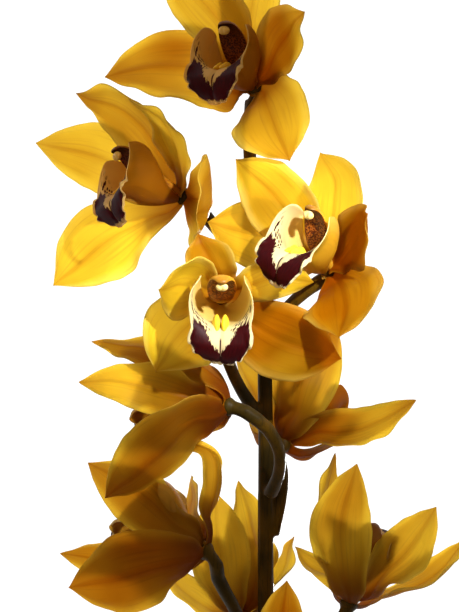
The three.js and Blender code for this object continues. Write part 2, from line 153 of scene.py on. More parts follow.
# Petal tissue: thin, waxy and full of water, so light from behind fills it with yellow; fine veins run lengthwise.
def petalTissue(name, tints):
    (foot, middle, tip), margin, shade, behind = tints
    material, tree = newMaterial(name)
    uv = addNode(tree, "ShaderNodeUVMap", uv_map="UVMap")
    across = addNode(tree, "ShaderNodeSeparateXYZ", {0: uv}, out=0)
    along = addNode(tree, "ShaderNodeSeparateXYZ", {0: uv}, out=1)
    place = addNode(tree, "ShaderNodeTexCoord", out="Object")
    fromMiddle = addNode(tree, "ShaderNodeMath", {0: across, 1: 0.5}, operation="SUBTRACT")
    offMidrib = addNode(tree, "ShaderNodeMath", {0: fromMiddle}, operation="ABSOLUTE")
    # the darker stops at the foot are painted shade, where the tepals close into the bloom's heart
    ground = addNode(
        tree,
        "ShaderNodeValToRGB",
        {0: along},
        stops=[(0.0, foot), (0.1, foot), (0.38, middle), (0.8, middle), (1.0, tip)],
    )
    rim = addNode(
        tree,
        "ShaderNodeValToRGB",
        {0: offMidrib},
        stops=[(0.0, 0.0), (0.36, 0.0), (0.48, petalFinish["marginShare"]), (0.5, petalFinish["marginShare"])],
    )
    rimmed = addNode(tree, "ShaderNodeMix", {"Factor": rim, 6: ground, 7: colour(margin)}, out=2, data_type="RGBA")
    stretch = addNode(
        tree,
        "ShaderNodeMapping",
        {0: uv, "Scale": (petalFinish["veinsAcross"], petalFinish["veinLength"], 1.0)},
    )
    veins = addNode(
        tree,
        "ShaderNodeTexNoise",
        {"Vector": stretch, "Scale": 1.0, "Detail": 2.0, "Roughness": 0.5, "Distortion": 0.2},
    )
    veinMask = addNode(
        tree,
        "ShaderNodeMapRange",
        {"Value": veins, "From Min": 0.5, "From Max": 0.66, "To Max": petalFinish["veinShare"]},
    )
    midribMask = addNode(
        tree,
        "ShaderNodeMapRange",
        {"Value": offMidrib, "From Min": 0.022, "From Max": 0.002, "To Max": petalFinish["midribShare"]},
    )
    lines = addNode(tree, "ShaderNodeMath", {0: veinMask, 1: midribMask}, operation="MAXIMUM")
    clouds = addNode(
        tree,
        "ShaderNodeTexNoise",
        {"Vector": place, "Scale": 1 / petalFinish["cloudSize"], "Detail": 2.0, "Roughness": 0.55},
    )
    cloudMask = addNode(
        tree,
        "ShaderNodeMapRange",
        {"Value": clouds, "From Min": 0.4, "From Max": 0.72, "To Max": 0.3},
    )
    marks = addNode(tree, "ShaderNodeMath", {0: lines, 1: cloudMask}, operation="MAXIMUM")
    marked = addNode(tree, "ShaderNodeMix", {"Factor": marks, 6: rimmed, 7: colour(shade)}, out=2, data_type="RGBA")
    # depth mixes amber into the tissue and into the light it lets through: painted shade
    depth = addNode(tree, "ShaderNodeAttribute", out="Fac", attribute_name="depth")
    paintedShade = addNode(
        tree,
        "ShaderNodeMix",
        {"Factor": depth, 6: colour("#ffffff"), 7: colour(petalFinish["paintedShadeTint"])},
        out=2,
        data_type="RGBA",
    )
    tissue = addNode(
        tree,
        "ShaderNodeMix",
        {"Factor": 1.0, 6: marked, 7: paintedShade},
        out=2,
        data_type="RGBA",
        blend_type="MULTIPLY",
    )
    filtered = addNode(
        tree,
        "ShaderNodeMix",
        {"Factor": 1.0, 6: colour(behind), 7: paintedShade},
        out=2,
        data_type="RGBA",
        blend_type="MULTIPLY",
    )
    glowing = addNode(tree, "ShaderNodeMix", {"Factor": 0.5, 6: tissue, 7: filtered}, out=2, data_type="RGBA")
    cells = addNode(
        tree,
        "ShaderNodeTexNoise",
        {"Vector": place, "Scale": 1 / petalFinish["cellSize"], "Detail": 1.0},
    )
    height = addNode(tree, "ShaderNodeMath", {0: cells, 1: 0.15, 2: veins}, operation="MULTIPLY_ADD")
    bump = addNode(
        tree,
        "ShaderNodeBump",
        {"Strength": 0.7, "Distance": petalFinish["veinDepth"], "Height": height},
    )
    surface = addNode(
        tree,
        "ShaderNodeBsdfPrincipled",
        {
            "Base Color": tissue,
            "Roughness": petalFinish["roughness"],
            "IOR": 1.4,
            "Specular IOR Level": petalFinish["shine"],
            "Normal": bump,
        },
    )
    through = addNode(tree, "ShaderNodeBsdfTranslucent", {"Color": glowing, "Normal": bump})
    both = addNode(tree, "ShaderNodeMixShader", {0: petalFinish["throughShare"], 1: surface, 2: through})
    addNode(tree, "ShaderNodeOutputMaterial", {0: both})
    return material


petalFace = petalTissue("petalTissueFace", petalFinish["face"])
petalBackShaded = petalTissue("petalTissueBackShaded", petalFinish["back"])
lipOutside = petalTissue("lipTissueOutside", petalFinish["lipBack"])

lipFinish = {
    "blotchStart": 0.6,  # where the dark V begins along the lip
    "blotchEnd": 0.955,
    "blotchOuter": 0.92,  # share of the half width; outside it a pale margin stays
    "blotchClosing": (-2.3, 1.97),  # the inside edge of the V: slope along the lip, and its start
    "fray": 0.5,
    "lineStart": 0.68,
    "lineWidth": 0.045,
    "spotGrid": (24.0, 30.0, 1.0),  # cells across and along: about 2.5 mm
    "spotSize": 0.36,
    # the golden stops towards the lip's foot are painted shade in the throat; the cream further out is the lip's own
    # colour
    "ground": [(0.0, "#cc9a2c"), (0.3, "#ecd474"), (0.48, "#f4e8ac"), (1.0, "#f8f0c4")],
    "dark": ("#1c0608", "#520a10"),
    "shadeTint": "#dcae3c",  # lips in the shade of their own petals look golden
    "throughShare": 0.52,
}


# Lip tissue: the same thin petal, cream inside, stained dark maroon in a V with ragged, lengthwise edges.
def lipTissue():
    material, tree = newMaterial("lipTissueInside")
    uv = addNode(tree, "ShaderNodeUVMap", uv_map="UVMap")
    across = addNode(tree, "ShaderNodeSeparateXYZ", {0: uv}, out=0)
    along = addNode(tree, "ShaderNodeSeparateXYZ", {0: uv}, out=1)
    signed = addNode(tree, "ShaderNodeMath", {0: across, 1: 2.0, 2: -1.0}, operation="MULTIPLY_ADD")
    side = addNode(tree, "ShaderNodeMath", {0: signed}, operation="ABSOLUTE")
    stretch = addNode(tree, "ShaderNodeMapping", {0: uv, "Scale": (34.0, 12.0, 1.0)})
    ragged = addNode(
        tree,
        "ShaderNodeTexNoise",
        {"Vector": stretch, "Scale": 1.0, "Detail": 3.0, "Roughness": 0.65},
    )
    jitter = addNode(tree, "ShaderNodeMath", {0: ragged, 1: 0.5}, operation="SUBTRACT")
    slope, start = lipFinish["blotchClosing"]
    innerEdge = addNode(tree, "ShaderNodeMath", {0: along, 1: slope, 2: start}, operation="MULTIPLY_ADD")
    frayedSide = addNode(tree, "ShaderNodeMath", {0: jitter, 1: lipFinish["fray"], 2: side}, operation="MULTIPLY_ADD")
    insideBy = addNode(tree, "ShaderNodeMath", {0: frayedSide, 1: innerEdge}, operation="SUBTRACT")
    inner = addNode(tree, "ShaderNodeMapRange", {"Value": insideBy, "From Min": -0.01, "From Max": 0.01})
    roughSide = addNode(tree, "ShaderNodeMath", {0: jitter, 1: 0.16, 2: side}, operation="MULTIPLY_ADD")
    outerEdge = lipFinish["blotchOuter"]
    outer = addNode(
        tree,
        "ShaderNodeMapRange",
        {"Value": roughSide, "From Min": outerEdge + 0.01, "From Max": outerEdge - 0.01},
    )
    roughAlong = addNode(tree, "ShaderNodeMath", {0: jitter, 1: 0.09, 2: along}, operation="MULTIPLY_ADD")
    begun = addNode(
        tree,
        "ShaderNodeMapRange",
        {"Value": roughAlong, "From Min": lipFinish["blotchStart"], "From Max": lipFinish["blotchStart"] + 0.01},
    )
    unended = addNode(
        tree,
        "ShaderNodeMapRange",
        {"Value": roughAlong, "From Min": lipFinish["blotchEnd"] + 0.01, "From Max": lipFinish["blotchEnd"]},
    )
    sides = addNode(tree, "ShaderNodeMath", {0: inner, 1: outer}, operation="MULTIPLY")
    ends = addNode(tree, "ShaderNodeMath", {0: begun, 1: unended}, operation="MULTIPLY")
    blotch = addNode(tree, "ShaderNodeMath", {0: sides, 1: ends}, operation="MULTIPLY")
    width = lipFinish["lineWidth"]
    narrow = addNode(tree, "ShaderNodeMapRange", {"Value": side, "From Min": width, "From Max": width * 0.6})
    lineStart = lipFinish["lineStart"]
    onLine = addNode(
        tree,
        "ShaderNodeMapRange",
        {"Value": roughAlong, "From Min": lineStart, "From Max": lineStart + 0.03},
    )
    lineEnds = addNode(tree, "ShaderNodeMath", {0: onLine, 1: unended}, operation="MULTIPLY")
    line = addNode(tree, "ShaderNodeMath", {0: narrow, 1: lineEnds}, operation="MULTIPLY")
    spotPlace = addNode(tree, "ShaderNodeMapping", {0: uv, "Scale": lipFinish["spotGrid"]})
    cells = addNode(
        tree,
        "ShaderNodeTexVoronoi",
        {"Vector": spotPlace, "Scale": 1.0, "Randomness": 0.9},
        voronoi_dimensions="2D",
    )
    roughCells = addNode(tree, "ShaderNodeMath", {0: jitter, 1: 0.4, 2: cells}, operation="MULTIPLY_ADD")
    spot = addNode(
        tree,
        "ShaderNodeMapRange",
        {"Value": roughCells, "From Min": lipFinish["spotSize"], "From Max": lipFinish["spotSize"] - 0.04},
    )
    zoneAlong = addNode(
        tree,
        "ShaderNodeValToRGB",
        {0: along},
        stops=[(0.0, 0.0), (0.5, 0.0), (0.54, 1.0), (0.62, 1.0), (0.65, 0.0)],
    )
    zoneSide = addNode(
        tree,
        "ShaderNodeValToRGB",
        {0: side},
        stops=[(0.0, 0.0), (0.26, 0.0), (0.36, 1.0), (0.82, 1.0), (0.9, 0.0)],
    )
    zone = addNode(tree, "ShaderNodeMath", {0: zoneAlong, 1: zoneSide}, operation="MULTIPLY")
    spots = addNode(tree, "ShaderNodeMath", {0: spot, 1: zone}, operation="MULTIPLY")
    stained = addNode(tree, "ShaderNodeMath", {0: blotch, 1: line}, operation="MAXIMUM")
    stainMask = addNode(tree, "ShaderNodeMath", {0: stained, 1: spots}, operation="MAXIMUM")
    ground = addNode(tree, "ShaderNodeValToRGB", {0: along}, stops=lipFinish["ground"])
    depth = addNode(tree, "ShaderNodeAttribute", out="Fac", attribute_name="depth")
    shade = addNode(
        tree,
        "ShaderNodeMix",
        {"Factor": depth, 6: colour("#ffffff"), 7: colour(lipFinish["shadeTint"])},
        out=2,
        data_type="RGBA",
    )
    shaded = addNode(
        tree,
        "ShaderNodeMix",
        {"Factor": 1.0, 6: ground, 7: shade},
        out=2,
        data_type="RGBA",
        blend_type="MULTIPLY",
    )
    deep, bright = lipFinish["dark"]
    maroon = addNode(
        tree,
        "ShaderNodeMix",
        {"Factor": ragged, 6: colour(deep), 7: colour(bright)},
        out=2,
        data_type="RGBA",
    )
    tissue = addNode(tree, "ShaderNodeMix", {"Factor": stainMask, 6: shaded, 7: maroon}, out=2, data_type="RGBA")
    bump = addNode(tree, "ShaderNodeBump", {"Strength": 0.5, "Distance": mm(0.15), "Height": ragged})
    surface = addNode(
        tree,
        "ShaderNodeBsdfPrincipled",
        {"Base Color": tissue, "Roughness": 0.45, "IOR": 1.4, "Specular IOR Level": 0.2, "Normal": bump},
    )
    through = addNode(tree, "ShaderNodeBsdfTranslucent", {"Color": tissue, "Normal": bump})
    both = addNode(tree, "ShaderNodeMixShader", {0: lipFinish["throughShare"], 1: surface, 2: through})
    addNode(tree, "ShaderNodeOutputMaterial", {0: both})
    return material


lipInside = lipTissue()

columnFinish = {
    "ground": [(0.0, "#b4801a"), (0.5, "#d8a42c"), (0.85, "#c48c22"), (1.0, "#7c5010")],
    "speckGap": mm(0.9),
    "hollowTint": "#9c5614",
    "speckTint": "#400a06",
    "shadeTint": "#a8701e",
}


# Column tissue: thick and waxy, so it shows brownish yellow and a soft shine; the hollow side is speckled.
def columnTissue():
    material, tree = newMaterial("columnTissue")
    hollow = addNode(tree, "ShaderNodeAttribute", out="Fac", attribute_name="hollow")
    along = addNode(tree, "ShaderNodeAttribute", out="Fac", attribute_name="reach")
    place = addNode(tree, "ShaderNodeTexCoord", out="Object")
    cells = addNode(tree, "ShaderNodeTexVoronoi", {"Vector": place, "Scale": 1 / columnFinish["speckGap"]})
    specks = addNode(
        tree,
        "ShaderNodeMapRange",
        {"Value": cells, "From Min": 0.62, "From Max": 0.46, "To Max": 0.9},
    )
    deep = addNode(
        tree,
        "ShaderNodeMapRange",
        {"Value": along, "From Min": 0.7, "From Max": 0.92, "To Max": 0.9},
    )
    stained = addNode(tree, "ShaderNodeMath", {0: specks, 1: deep}, operation="MAXIMUM")
    ground = addNode(tree, "ShaderNodeValToRGB", {0: along}, stops=columnFinish["ground"])
    inside = addNode(
        tree,
        "ShaderNodeMix",
        {"Factor": stained, 6: colour(columnFinish["hollowTint"]), 7: colour(columnFinish["speckTint"])},
        out=2,
        data_type="RGBA",
    )
    bare = addNode(tree, "ShaderNodeMix", {"Factor": hollow, 6: ground, 7: inside}, out=2, data_type="RGBA")
    depth = addNode(tree, "ShaderNodeAttribute", out="Fac", attribute_name="depth")
    shade = addNode(
        tree,
        "ShaderNodeMix",
        {"Factor": depth, 6: colour("#ffffff"), 7: colour(columnFinish["shadeTint"])},
        out=2,
        data_type="RGBA",
    )
    tissue = addNode(
        tree,
        "ShaderNodeMix",
        {"Factor": 1.0, 6: bare, 7: shade},
        out=2,
        data_type="RGBA",
        blend_type="MULTIPLY",
    )
    surface = addNode(
        tree,
        "ShaderNodeBsdfPrincipled",
        {
            "Base Color": tissue,
            "Roughness": 0.4,
            "IOR": 1.4,
            "Specular IOR Level": 0.3,
            "Subsurface Weight": 0.35,
            "Subsurface Radius": (1.0, 0.6, 0.2),
            "Subsurface Scale": mm(2.5),
        },
    )
    addNode(tree, "ShaderNodeOutputMaterial", {0: surface})
    return material


# Plain waxy tissue in one family of tints: the anther cap, the crests of the lip.
def waxTissue(name, tintLow, tintHigh, cloudSize, roughness):
    material, tree = newMaterial(name)
    place = addNode(tree, "ShaderNodeTexCoord", out="Object")
    clouds = addNode(tree, "ShaderNodeTexNoise", {"Vector": place, "Scale": 1 / cloudSize, "Detail": 2.0})
    tint = addNode(
        tree,
        "ShaderNodeMix",
        {"Factor": clouds, 6: colour(tintLow), 7: colour(tintHigh)},
        out=2,
        data_type="RGBA",
    )
    depth = addNode(tree, "ShaderNodeAttribute", out="Fac", attribute_name="depth")
    shade = addNode(
        tree,
        "ShaderNodeMix",
        {"Factor": depth, 6: colour("#ffffff"), 7: colour(lipFinish["shadeTint"])},
        out=2,
        data_type="RGBA",
    )
    shaded = addNode(
        tree,
        "ShaderNodeMix",
        {"Factor": 1.0, 6: tint, 7: shade},
        out=2,
        data_type="RGBA",
        blend_type="MULTIPLY",
    )
    bump = addNode(tree, "ShaderNodeBump", {"Strength": 0.3, "Distance": mm(0.1), "Height": clouds})
    surface = addNode(
        tree,
        "ShaderNodeBsdfPrincipled",
        {
            "Base Color": shaded,
            "Roughness": roughness,
            "IOR": 1.4,
            "Specular IOR Level": 0.3,
            "Subsurface Weight": 0.4,
            "Subsurface Radius": (1.0, 0.8, 0.4),
            "Subsurface Scale": mm(1.5),
            "Normal": bump,
        },
    )
    addNode(tree, "ShaderNodeOutputMaterial", {0: surface})
    return material


capWax = waxTissue("antherCapWax", "#e2c46c", "#f2dc98", mm(3), 0.35)
crestWax = waxTissue("lipCrestWax", "#ecc41c", "#f8dc40", mm(4), 0.4)
columnFlesh = columnTissue()


# Green stem skin: smooth cuticle over fibres that run lengthwise, dull olive with darker flecks.
def stemSkin():
    material, tree = newMaterial("stemCuticle")
    place = addNode(tree, "ShaderNodeTexCoord", out="Object")
    stretch = addNode(tree, "ShaderNodeMapping", {0: place, "Scale": (900.0, 60.0, 900.0)})
    fibres = addNode(tree, "ShaderNodeTexNoise", {"Vector": stretch, "Scale": 1.0, "Detail": 3.0})
    clouds = addNode(tree, "ShaderNodeTexNoise", {"Vector": place, "Scale": 40.0, "Detail": 2.0})
    ground = addNode(
        tree,
        "ShaderNodeValToRGB",
        {0: clouds},
        stops=[(0.0, "#2a1e03"), (0.4, "#332604"), (0.62, "#5a3e05"), (1.0, "#6a4806")],
    )
    fleckMask = addNode(
        tree,
        "ShaderNodeMapRange",
        {"Value": fibres, "From Min": 0.5, "From Max": 0.7, "To Max": 0.5},
    )
    tint = addNode(
        tree,
        "ShaderNodeMix",
        {"Factor": fleckMask, 6: ground, 7: colour("#1a1404")},
        out=2,
        data_type="RGBA",
    )
    bump = addNode(tree, "ShaderNodeBump", {"Strength": 0.5, "Distance": mm(0.2), "Height": fibres})
    surface = addNode(
        tree,
        "ShaderNodeBsdfPrincipled",
        {"Base Color": tint, "Roughness": 0.5, "IOR": 1.45, "Specular IOR Level": 0.1, "Normal": bump},
    )
    addNode(tree, "ShaderNodeOutputMaterial", {0: surface})
    return material


stemGreen = stemSkin()
print("materials made")


# Where each bloom stands, read from the ends of its tepals


def mergedMesh(nodeName):  # a copy of a node's loose triangles, joined into one skin
    mesh = bmesh.new()
    mesh.from_mesh(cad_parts[nodeName].data)
    bmesh.ops.remove_doubles(mesh, verts=mesh.verts, dist=mm(0.01))
    return mesh


sheetSides = 8  # points in one ring of a tepal's solid, and so the edges that meet at its two ends
whorlOffset = mm(1.5)  # sepals start this far behind a bloom's centre, petals this far in front


def endsOf(mesh):
    return [v.co.copy() for v in mesh.verts if len(v.link_edges) == sheetSides]


def bloomSeat(meshes):
    pairs = [(a, b) for a in endsOf(meshes["upper_sepal"]) for b in endsOf(meshes["right_petal"])]
    nearA, nearB = min(pairs, key=lambda pair: (pair[0] - pair[1]).length)
    middle = (nearA + nearB) / 2
    foot = {}
    for name in tepalNames:
        foot[name] = min(endsOf(meshes[name]), key=lambda p: (p - middle).length)
    top, right, left = foot["upper_sepal"], foot["right_sepal"], foot["left_sepal"]
    a, b = right - top, left - top
    normal = a.cross(b)
    toCentre = (b.length_squared * a.cross(b).cross(a) + a.length_squared * b.cross(a.cross(b))) / (
        2 * normal.length_squared
    )
    forward = -normal.normalized()
    centre = top + toCentre + forward * whorlOffset
    up = (top - centre - forward * (top - centre).dot(forward)).normalized()
    side = up.cross(forward)
    place = Matrix((side, up, forward)).transposed().to_4x4()
    place.translation = centre
    return place, foot


# Tepals

tepal = {
    "cellsAcross": 28,
    "cellsAlong": 60,
    "thickness": mm(0.9),
    "marginShare": 0.45,  # thickness left at the margin
    "midribDepth": mm(0.7),
    "midribWidth": mm(1.5),
    "ripple": mm(1.9),
    "rippleLength": mm(13),
    "swell": mm(2.0),
    "swellLength": mm(22),
    "rimCurl": mm(1.6),  # how far the rim rolls back in places
    "rimCurlLength": mm(26),
    "footInset": mm(2.6),  # the foot grows into the core
    "footSpread": [2.0, 1.8, 1.25],  # how much broader the first rows are, so that the feet meet
}


def sheetGrid(mesh, foot):  # five columns of points, rim to rim, through the middle of a tepal's solid
    base = min(mesh.verts, key=lambda v: (v.co - foot).length)
    seen, current, rows = {base}, [base], []
    while True:
        reached = {e.other_vert(v) for v in current for e in v.link_edges} - seen
        if len(reached) < sheetSides:
            break
        ring = [next(iter(reached))]
        while len(ring) < sheetSides:
            ring.append(next(
                e.other_vert(ring[-1]) for e in ring[-1].link_edges
                if e.other_vert(ring[-1]) in reached and e.other_vert(ring[-1]) not in ring
            ))
        points = [v.co.copy() for v in ring]
        half = sheetSides // 2
        rim = max(range(half), key=lambda k: (points[k] - points[k + half]).length)
        points = points[rim:] + points[:rim]
        if rows and (points[0] - rows[-1][0]).length > (points[half] - rows[-1][0]).length:
            points = points[half:] + points[:half]
        row = [points[0]]
        row += [(points[k] + points[-k]) / 2 for k in range(1, half)]
        row.append(points[half])
        rows.append(row)
        seen |= reached
        current = ring
    tip = next(iter(reached)).co.copy()
    return rows, tip


# painted shade on each tepal, in the order of tepalNames: 0 is pale, 1 deep amber
shadeByTepal = [
    [0.15, 0.6, 0.2, 0.4, 0.4],
    [0.3, 0.25, 0.0, 0.35, 0.0],
    [0.1, 0.8, 0.15, 0.9, 0.1],
    [0.5, 0.15, 0.05, 1.0, 0.15],
    [0.55, 0.2, 0.5, 0.7, 0.5],
    [0.45, 0.3, 0.4, 0.65, 0.4],
    [0.0, 0.2, 0.1, 0.3, 0.3],
    [0.5, 0.3, 0.5, 0.3, 0.55],
    [0.25, 0.2, 0.25, 0.3, 0.35],
    [0.5, 0.4, 0.5, 0.5, 0.5],
]


def tepalSheet(name, mesh, foot, seat, paintedShade):
    rows, tip = sheetGrid(mesh, foot)
    centre, forward = seat.translation, seat.to_3x3().col[2]
    outward = (foot - centre - forward * (foot - centre).dot(forward)).normalized()
    across = rows[0][4] - rows[0][0]
    if across.cross(outward).dot(forward) < 0:  # the same rim comes first on every tepal
        rows = [list(reversed(row)) for row in rows]
    rows = [[p - outward * tepal["footInset"] for p in rows[0]]] + rows + [[tip] * 5]
    for row, spread in zip(rows, tepal["footSpread"]):
        middle = row[2].copy()
        row[:] = [middle + (p - middle) * spread for p in row]
    knots = chordKnots([row[2] for row in rows])
    columns = [[row[k] for row in rows] for k in range(5)]
    nx, ny = tepal["cellsAcross"], tepal["cellsAlong"]
    grid = []
    for j in range(ny + 1):
        line = [blendAt(knots, column, j / ny) for column in columns]
        marks = chordKnots(line) if j < ny else [0, 0.25, 0.5, 0.75, 1]
        grid.append([blendAt(marks, line, i / nx) for i in range(nx + 1)])
    length = sum((a - b).length for a, b in zip([row[2] for row in rows], [row[2] for row in rows[1:]]))
    phase = Vector((foot.x * 7000, foot.y * 7000, foot.z * 7000))
    bpy.ops.mesh.primitive_grid_add(x_subdivisions=nx, y_subdivisions=ny, size=1)
    sheet = bpy.context.object
    sheet.name = name
    margin = sheet.vertex_groups.new(name="body")
    depths = []
    for vertex in sheet.data.vertices:
        i = round((vertex.co.x + 0.5) * nx)
        j = round((vertex.co.y + 0.5) * ny)
        s, t = 2 * i / nx - 1, j / ny
        here = grid[j][i]
        widthLine = grid[j][min(i + 1, nx)] - grid[j][max(i - 1, 0)]
        lengthLine = grid[min(j + 1, ny)][i] - grid[max(j - 1, 0)][i]
        normal = widthLine.cross(lengthLine)
        normal = normal.normalized() if normal.length > 0 else forward
        halfWidth = (grid[j][nx] - grid[j][0]).length / 2
        offMidrib = (here - grid[j][nx // 2]).length
        open_ = smooth(0.05, 0.3, t) * (1 - smooth(0.86, 1.0, t))
        lift = -tepal["midribDepth"] * math.exp(-((offMidrib / tepal["midribWidth"]) ** 2)) * (1 - smooth(0.7, 1.0, t))
        ripple = noise.noise(here / tepal["rippleLength"] + phase)
        lift += tepal["ripple"] * 2 * ripple * smooth(0.55, 1.0, abs(s)) * open_
        swell = noise.noise(here / tepal["swellLength"] - phase)
        lift += tepal["swell"] * 2 * swell * open_ * min(1.0, halfWidth / mm(12))
        curl = smooth(-0.15, 0.35, noise.noise(here / tepal["rimCurlLength"] + phase * 3))
        lift -= tepal["rimCurl"] * curl * smooth(0.7, 1.0, abs(s)) * open_
        edge = noise.noise(here / mm(6) + phase * 2) * mm(0.5) * smooth(0.8, 1.0, abs(s)) * open_
        sideways = widthLine.normalized() if widthLine.length > 0 else widthLine
        vertex.co = here + normal * lift + sideways * edge * (1 if s > 0 else -1)
        # depth: the tepal's painted shade with random patches, more painted shade towards the foot and along the thick
        # midrib, painted light at the thin margins
        patch = noise.noise(here / mm(30) + phase)
        towardsFoot = 1 - smooth(0.0, 0.45, t)
        thin = smooth(0.55, 1.0, abs(s)) * open_
        thick = math.exp(-((s / 0.14) ** 2))
        depths.append(min(1.0, max(0.0, paintedShade + 0.5 * patch + 0.45 * towardsFoot + 0.2 * thick - 0.35 * thin)))
        margin.add([vertex.index], max(0.0, 1 - smooth(0.6, 1.0, abs(s))) * (1 - smooth(0.85, 1.0, t)), "REPLACE")
    sheet.data.attributes.new("depth", "FLOAT", "POINT").data.foreach_set("value", depths)
    bpy.ops.object.mode_set(mode="EDIT")
    bpy.ops.mesh.select_all(action="SELECT")
    bpy.ops.mesh.remove_doubles(threshold=mm(0.02))
    bpy.ops.object.mode_set(mode="OBJECT")
    wall = sheet.modifiers.new("wall", "SOLIDIFY")
    wall.thickness = tepal["thickness"]
    wall.offset = 0
    wall.vertex_group = "body"
    wall.thickness_vertex_group = tepal["marginShare"]
    # the inner shell takes the back tissue, painted darker as shade
    wall.material_offset = 1
    wall.material_offset_rim = 0
    sheet.data.materials.append(petalFace)
    sheet.data.materials.append(petalBackShaded)
    bpy.ops.object.modifier_apply(modifier="wall")
    bpy.ops.object.shade_smooth()
    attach(sheet, "root")
    return sheet


# Lip, in the bloom's own axes, in millimetres until it is placed

lip = {
    "cellsAcross": 56,
    "cellsAlong": 84,
    "thickness": mm(0.9),
    "midline": [(-3.4, 2), (-6, 12), (-6, 22), (-4, 32), (-4, 39), (-9.5, 43.5), (-17, 41.5), (-21.5, 36.5)],
    # along the lip: half width, how far the section curls round, how far its rims lean forward
    "sections": [
        (0.0, 2.6, 150, 0),
        (0.15, 13, 205, 0),
        (0.33, 31, 258, 2),
        (0.46, 35, 268, 5),
        (0.53, 31, 240, 5),
        (0.585, 20.5, 140, 2),
        (0.63, 15.5, 60, 0),
        (0.69, 16, 20, 0),
        (0.75, 15.6, 0, 0),
        (0.82, 13.4, -20, 0),
        (0.9, 10, -35, 0),
        (0.96, 6.5, -40, 0),
        (1.0, 3, -45, 0),
    ],
    "frill": 2.1,
    "frillLength": 4.2,
}


def midlineAt(points, knots, t):
    here = blendAt(knots, points, t)
    step = 0.004
    ahead = blendAt(knots, points, min(1.0, t + step)) - blendAt(knots, points, max(0.0, t - step))
    return here, ahead.normalized()


def makeLip():
    points = [Vector((0, y, z)) for y, z in lip["midline"]]
    knots = chordKnots(points)
    marks = [row[0] for row in lip["sections"]]
    halves, bends, leans = [[row[k] for row in lip["sections"]] for k in (1, 2, 3)]
    nx, ny = lip["cellsAcross"], lip["cellsAlong"]
    bpy.ops.mesh.primitive_grid_add(x_subdivisions=nx, y_subdivisions=ny, size=1)
    sheet = bpy.context.object
    sheet.name = "lipPattern"
    body = sheet.vertex_groups.new(name="body")
    sideways = Vector((1, 0, 0))
    for vertex in sheet.data.vertices:
        s, t = vertex.co.x * 2, vertex.co.y + 0.5
        here, ahead = midlineAt(points, knots, t)
        face = ahead.cross(sideways)
        half = max(0.6, blendAt(marks, halves, t))
        bend = math.radians(blendAt(marks, bends, t))
        turn = s * bend / 2
        if abs(bend) > 0.01:
            radius = 2 * half / bend
            side, rise = radius * math.sin(turn), radius * (1 - math.cos(turn))
        else:
            side, rise = s * half, 0
        normal = face * math.cos(turn) - sideways * math.sin(turn)
        place = here + sideways * side + face * rise + ahead * (blendAt(marks, leans, t) * s * s)
        frilled = max(smooth(0.72, 1.0, abs(s)) * smooth(0.6, 0.68, t), smooth(0.93, 1.0, t))
        wave = noise.noise(place / lip["frillLength"] + Vector((3.1, 0, 7.7)))
        place += normal * (2 * lip["frill"] * wave * frilled)
        soft = noise.noise(place / 11 + Vector((9.3, 4.1, 0)))
        place += normal * (1.2 * soft * smooth(0.2, 0.5, t))
        place -= normal * (0.8 * math.exp(-((side / 1.2) ** 2)) * smooth(0.5, 0.7, t) * (1 - smooth(0.9, 1.0, t)))
        vertex.co = place / 1000
        body.add([vertex.index], 1 - smooth(0.7, 1.0, abs(s)), "REPLACE")
    wall = sheet.modifiers.new("wall", "SOLIDIFY")
    wall.thickness = lip["thickness"]
    wall.offset = 0
    wall.vertex_group = "body"
    wall.thickness_vertex_group = 0.5
    wall.material_offset = 1
    wall.material_offset_rim = 1
    sheet.data.materials.append(lipOutside)
    sheet.data.materials.append(lipInside)
    bpy.ops.object.modifier_apply(modifier="wall")
    bpy.ops.object.shade_smooth()
    return sheet


# Crests: two waxy ridges side by side on the floor of the lip

crest = {"back": 21, "front": 39, "halfWidth": 1.9, "height": 6.2, "spreadBack": 3.3, "spreadFront": 1.7}


def makeCrests():
    halves = []
    for side in (-1, 1):
        bpy.ops.mesh.primitive_uv_sphere_add(segments=20, ring_count=24, radius=1)
        ridge = bpy.context.object
        for vertex in ridge.data.vertices:
            t = (vertex.co.z + 1) / 2  # 0 at the back, 1 at the front
            z = crest["back"] + (crest["front"] - crest["back"]) * t
            floor = -6 + 2.2 * smooth(24, 34, z)
            ridgeHeight = crest["height"] * (0.7 + 0.3 * smooth(0.0, 0.4, t)) * (1 - 0.45 * smooth(0.5, 1.0, t))
            spread = crest["spreadBack"] + (crest["spreadFront"] - crest["spreadBack"]) * t
            x = side * spread + vertex.co.x * crest["halfWidth"] - side * 0.5 * max(0.0, vertex.co.y)
            y = floor + 0.3 + ridgeHeight * max(0.0, vertex.co.y)
            vertex.co = local(x, y, z)
        halves.append(ridge)
    for ridge in halves:
        ridge.select_set(True)
    bpy.ops.object.join()
    joined = bpy.context.object
    joined.name = "crestPattern"
    joined.data.materials.append(crestWax)
    bpy.ops.object.shade_smooth()
    return joined


# Column: an arching fleshy arm with a hollow, speckled underside and a beaked tip

column = {
    "path": [(0.5, -3), (1.5, 4), (4.5, 11), (9, 17.5), (14.5, 23.5), (19, 29), (21, 34), (20, 37.5)],
    # along the arm: half width, height of the back, depth of the front, hollow
    "sections": [
        (0.0, 3.4, 3.4, 3.4, 0),
        (0.2, 4.8, 4.2, 3.4, 0.6),
        (0.45, 6.6, 4.4, 4.8, 2.6),
        (0.65, 7.2, 4.0, 4.4, 4.4),
        (0.85, 5.8, 2.8, 2.2, 3.2),
        (1.0, 3.6, 1.8, 0.6, 0.9),
    ],
}


